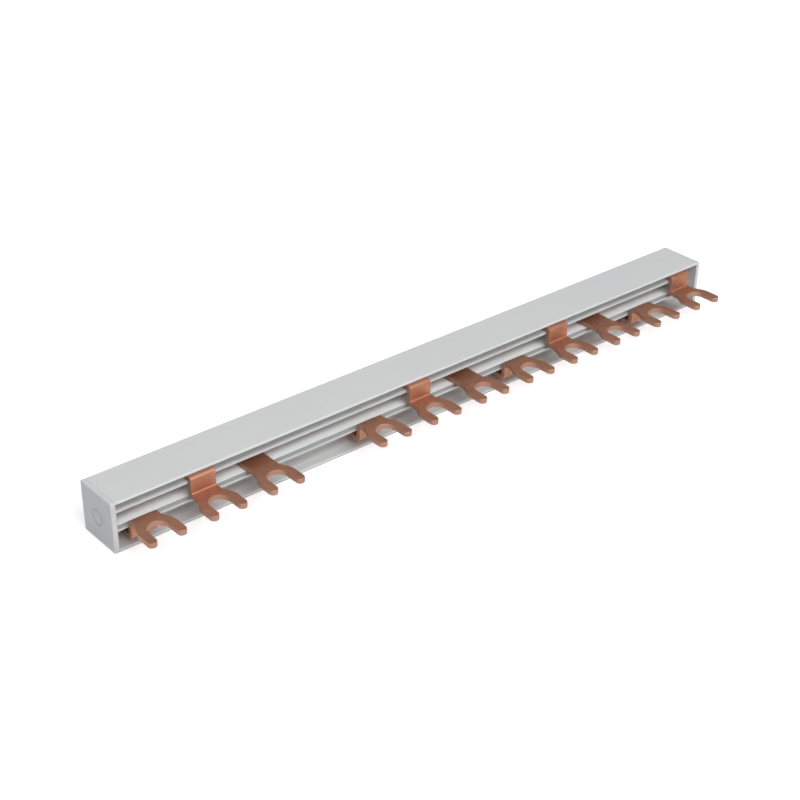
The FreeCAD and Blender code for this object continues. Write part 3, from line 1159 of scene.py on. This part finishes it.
@dataclass
class Fork:
    """The fork that grips a terminal screw: neck, horseshoe and two round-ended prongs."""

    width: float = 10.9
    neck: float = 7.4
    slot: float = 5.9
    slot_centre: float = -15.7
    tip: float = -20.5
    hollow: float = 5.0
    base: float = 7.65
    copper: float = 1.5

    @property
    def root(self) -> float:
        """Where the neck's straight sides end and its hollows start, along Y.

        Returns:
            The place, in millimetres.
        """
        across = self.neck / 2 + self.hollow
        reach = self.width / 2 + self.hollow
        return self.slot_centre + math.sqrt(reach ** 2 - across ** 2)

    def model(self) -> bpy.types.Object:
        """Model one fork on X = 0.

        Returns:
            The fork, in object mode.
        """
        neck, outer, inner = self.neck / 2, self.width / 2, self.slot / 2
        prong = (outer - inner) / 2
        root = self.root
        middle = Vector((0.0, self.slot_centre))
        turn = math.degrees(math.atan2(root - self.slot_centre, neck + self.hollow))
        pen = Pen("fork", Sheet.PLAN, self.base, Vector((neck, root)))
        pen.line_to(Vector((-neck, root)))
        pen.arc(Vector((-neck - self.hollow, root)), -turn, step=7.0)
        pen.arc(middle, turn, step=6.0)
        pen.line_to(Vector((-outer, self.tip + prong)))
        pen.arc(Vector((-(outer + inner) / 2, self.tip + prong)), 180.0, step=12.0)
        pen.line_to(Vector((-inner, self.slot_centre)))
        pen.arc(middle, -180.0, step=7.5)
        pen.line_to(Vector((inner, self.tip + prong)))
        pen.arc(Vector(((outer + inner) / 2, self.tip + prong)), 180.0, step=12.0)
        pen.line_to(Vector((outer, self.slot_centre)))
        pen.arc(middle, turn, step=6.0)
        pen.arc(Vector((neck + self.hollow, root)), -turn, step=7.0)
        return pen.thicken(mm(0, 0, self.copper))


@dataclass
class Tab:
    """The tab between a strip and a fork; a die can square the corners of its bends up."""

    level: float
    bend: Bend
    riser: float
    inner_radius: float = 0.5
    outer_radius: float = 0.9

    def side_view(self, fork: Fork, back: float) -> list[Corner]:
        """The tab seen from the end of the row, once round from the fork's underside.

        Args:
            fork: the fork that the tab carries.
            back: where the tab leaves its strip, along Y.

        Returns:
            The corners of its outline.
        """
        front, base, top = fork.root, fork.base, fork.base + fork.copper
        low, high = self.level, self.level + fork.copper
        face = self.riser - fork.copper
        inner, outer = self.inner_radius, self.outer_radius
        foot = [Corner(back, low), Corner(back, high)]
        if self.bend is Bend.UP:
            under = [Corner(face, base, inner), Corner(face, low, outer)]
            over = [Corner(self.riser, high, inner), Corner(self.riser, top, outer)]
        elif self.bend is Bend.DOWN:
            under = [Corner(self.riser, base, outer), Corner(self.riser, low, inner)]
            over = [Corner(face, high, outer), Corner(face, top, inner)]
        else:
            under = over = []
        return [Corner(front, base), *under, *foot, *over, Corner(front, top)]

    def model(self, fork: Fork, back: float) -> bpy.types.Object:
        """Model one tab on X = 0.

        Args:
            fork: the fork that the tab carries.
            back: where the tab leaves its strip, along Y.

        Returns:
            The tab, in object mode.
        """
        outline = self.side_view(fork, back)
        pen = Pen("tab", Sheet.SECTION, -fork.neck / 2, outline[0].spot())
        pen.trace(outline, step=10.0)
        return pen.thicken(mm(fork.neck, 0, 0))


@dataclass
class Comb(BusbarPiece):
    """Stamped copper comb: a strip, and a bent tab with a fork at its terminals."""

    node: str
    tab: Tab
    forks: tuple[int, ...]
    fork: Fork
    finish: Finish = field(default_factory=BareCopper)
    first_fork: float = -99.3
    pitch: float = 17.8
    strip_end: float = 103.25
    strip_depth: tuple[float, float] = (-2.0, 6.0)
    edge_rounding: float = 0.13

    def places(self) -> list[float]:
        """The places of the comb's forks along X."""
        return [self.first_fork + (terminal - 1) * self.pitch for terminal in self.forks]

    def strip(self) -> bpy.types.Object:
        """Model the strip, with a face of its own in front for each tab to join.

        Returns:
            The strip, in object mode.
        """
        front, back = self.strip_depth
        half = self.fork.neck / 2
        pen = Pen(f"{self.node}_stamping", Sheet.PLAN, self.tab.level,
                  Vector((self.strip_end, back)))
        pen.line_to(Vector((-self.strip_end, back)))
        pen.line_to(Vector((-self.strip_end, front)))
        for middle in self.places():
            pen.line_to(Vector((middle - half, front)))
            pen.line_to(Vector((middle + half, front)))
        pen.line_to(Vector((self.strip_end, front)))
        return pen.thicken(mm(0, 0, self.fork.copper))

    def repeat(self, pattern: bpy.types.Object) -> list[bpy.types.Object]:
        """Put a copy of a piece, with a mesh of its own, at each fork's place.

        Args:
            pattern: the piece on X = 0; it is used up.

        Returns:
            The copies.
        """
        copies = []
        for place in self.places():
            take(pattern)
            bpy.ops.object.duplicate()
            bpy.ops.transform.translate(value=mm(place, 0, 0))
            bpy.ops.object.transform_apply(location=True, rotation=False, scale=False)
            copies.append(bpy.context.object)
        bpy.data.meshes.remove(pattern.data)
        return copies

    def mark_cut_faces(self, piece: bpy.types.Object) -> None:
        """Note on each face if the die cut it, for the finish to tell it from rolled copper.

        Args:
            piece: the comb, before its edges are rounded.
        """
        front, back = self.fork.root * MM, self.strip_depth[0] * MM - WELD
        cut = []
        for face in piece.data.polygons:
            upright = abs(face.normal.z) < STANDING and not front < face.center.y < back
            cut.append(float(upright or abs(face.normal.x) > FACING))
        marks = piece.data.attributes.new(BareCopper.cut_mark, "FLOAT", "FACE")
        marks.data.foreach_set("value", cut)

    def model(self) -> bpy.types.Object:
        """See BusbarPiece.model."""
        strip_front = self.strip_depth[0]
        piece = self.strip()
        tabs = self.repeat(self.tab.model(self.fork, strip_front))
        forks = self.repeat(self.fork.model())
        take(piece, *tabs, *forks)
        bpy.ops.object.join()
        with editing(piece):
            half = self.fork.neck * MM / 2
            joints = (self.fork.root, strip_front)
            select_faces(lambda middle, normal: (
                abs(normal.y) > FACING and any(near(middle.y, joint) for joint in joints)
                and any(abs(middle.x - place * MM) < half for place in self.places())))
            bpy.ops.mesh.delete(type="ONLY_FACE")
            weld()
        self.mark_cut_faces(piece)
        apply_modifier(piece, "BEVEL", width=self.edge_rounding * MM, segments=2,
                       limit_method="ANGLE", angle_limit=SHARP_ANGLE, use_clamp_overlap=False)
        return piece


# The studio of the photograph.


@dataclass(frozen=True)
class Lamp:
    """A soft square lamp that points at the busbar."""

    name: str
    place: tuple[float, float, float]
    size: float
    power: float

    def hang(self) -> None:
        """Put the lamp in the scene."""
        data = bpy.data.lights.new(self.name, "AREA")
        data.size = self.size
        data.energy = self.power
        lamp = bpy.data.objects.new(self.name, data)
        lamp.location = self.place
        lamp.rotation_mode = "QUATERNION"
        lamp.rotation_quaternion = (-Vector(self.place)).to_track_quat("-Z", "Y")
        bpy.context.scene.collection.objects.link(lamp)


@dataclass(frozen=True)
class Viewpoint:
    """The camera's place and turn in the photograph."""

    place: tuple[float, float, float] = (-0.25752, -0.29229, 0.22873)
    heading: float = -40.234
    tilt: float = 59.647
    roll: float = 0.388
    lens: float = 71.26

    def set_up(self) -> None:
        """Make the camera and look through it."""
        data = bpy.data.cameras.new("camera")
        data.lens = self.lens
        data.sensor_width = 36.0
        data.clip_start = 0.01
        data.clip_end = 20.0
        data.dof.use_dof = False
        camera = bpy.data.objects.new("camera", data)
        turns = ((self.heading, "Z"), (self.tilt, "X"), (self.roll, "Z"))
        matrix = Matrix.Translation(self.place)
        for degrees, axis in turns:
            matrix = matrix @ Matrix.Rotation(math.radians(degrees), 4, axis)
        camera.matrix_world = matrix
        bpy.context.scene.collection.objects.link(camera)
        bpy.context.scene.camera = camera


@dataclass
class Studio:
    """Plain pale floor, soft lamps and an even grey room."""

    floor_size: float = 6.0
    floor_tint: float = 0.65
    floor_glow: float = 0.45
    backdrop_glow: float = 0.54
    room_level: float = 0.37
    lamps: tuple[Lamp, ...] = (
        Lamp("key_lamp", (0.0, -0.94, 1.04), 0.9, 14.0),
        Lamp("camera_side_lamp", (-0.755, -0.9, 0.763), 0.7, 3.4),
        Lamp("roof_lamp", (0.0, 0.48, 1.315), 1.6, 2.2),
    )
    viewpoint: Viewpoint = field(default_factory=Viewpoint)

    def lay_floor(self) -> None:
        """Lay the floor, which the camera and reflections see as white but for the shadow."""
        take()
        bpy.ops.mesh.primitive_plane_add(size=self.floor_size)
        floor = bpy.context.object
        floor.name = "studio_floor"
        with editing(floor):
            bpy.ops.mesh.select_all(action="SELECT")
            bpy.ops.mesh.subdivide(number_cuts=5)
        material = bpy.data.materials.new("studio_floor")
        material.use_nodes = True
        bench = NodeBench(material.node_tree)
        seen = bench.put("LightPath").outputs
        mirrored = bench.math("MAXIMUM", seen["Is Glossy Ray"], seen["Is Transmission Ray"])
        glow = bench.math("MAXIMUM", bench.times(seen["Is Camera Ray"], self.backdrop_glow),
                          bench.times(mirrored, self.floor_glow))
        cloud = CLOUDING.on(bench, Patches_per_metre=3.0)
        level = bench.spread(cloud, 0.0, 1.0, self.floor_tint - 0.01, self.floor_tint)
        tint = bench.put("CombineColor", {0: level, 1: level, 2: level}).outputs[0]
        shader = bench.put("BsdfPrincipled", {
            "Base Color": tint, "Roughness": 1.0, "Emission Color": WHITE,
            "Emission Strength": glow, "Specular IOR Level": 0.0})
        bench.put("OutputMaterial", {"Surface": shader.outputs[0]})
        floor.data.materials.append(material)

    def light_room(self) -> None:
        """Give the room its even grey level, which the camera sees as white."""
        world = bpy.data.worlds.new("room")
        world.use_nodes = True
        bench = NodeBench(world.node_tree)
        seen = bench.put("LightPath").outputs["Is Camera Ray"]
        level = bench.spread(seen, 0.0, 1.0, self.room_level, 1.0)
        room = bench.put("Background", {"Color": WHITE, "Strength": level})
        bench.put("OutputWorld", {"Surface": room.outputs[0]})
        bpy.context.scene.world = world

    def set_up(self) -> None:
        """Make the floor, the light and the camera."""
        self.lay_floor()
        self.light_room()
        for lamp in self.lamps:
            lamp.hang()
        self.viewpoint.set_up()
        bpy.context.scene.view_settings.view_transform = "Standard"


def main() -> None:
    """Build the pieces and the studio."""
    logging.basicConfig(level=logging.INFO, format="%(message)s")
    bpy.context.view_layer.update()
    fork = Fork()
    pieces: list[BusbarPiece] = [
        HousingProfile(),
        EndCap(End.LEFT),
        EndCap(End.RIGHT),
        Comb("lower_comb", Tab(2.95, Bend.UP, -7.4, outer_radius=2.0), (1, 5, 8, 11), fork),
        Comb("middle_comb", Tab(7.65, Bend.FLAT, 0.0), (3, 7, 10), fork),
        Comb("upper_comb", Tab(12.35, Bend.DOWN, -7.25), (2, 6, 9, 12), fork),
    ]
    for piece in pieces:
        piece.make()
    Studio().set_up()


if __name__ == "__main__":
    main()
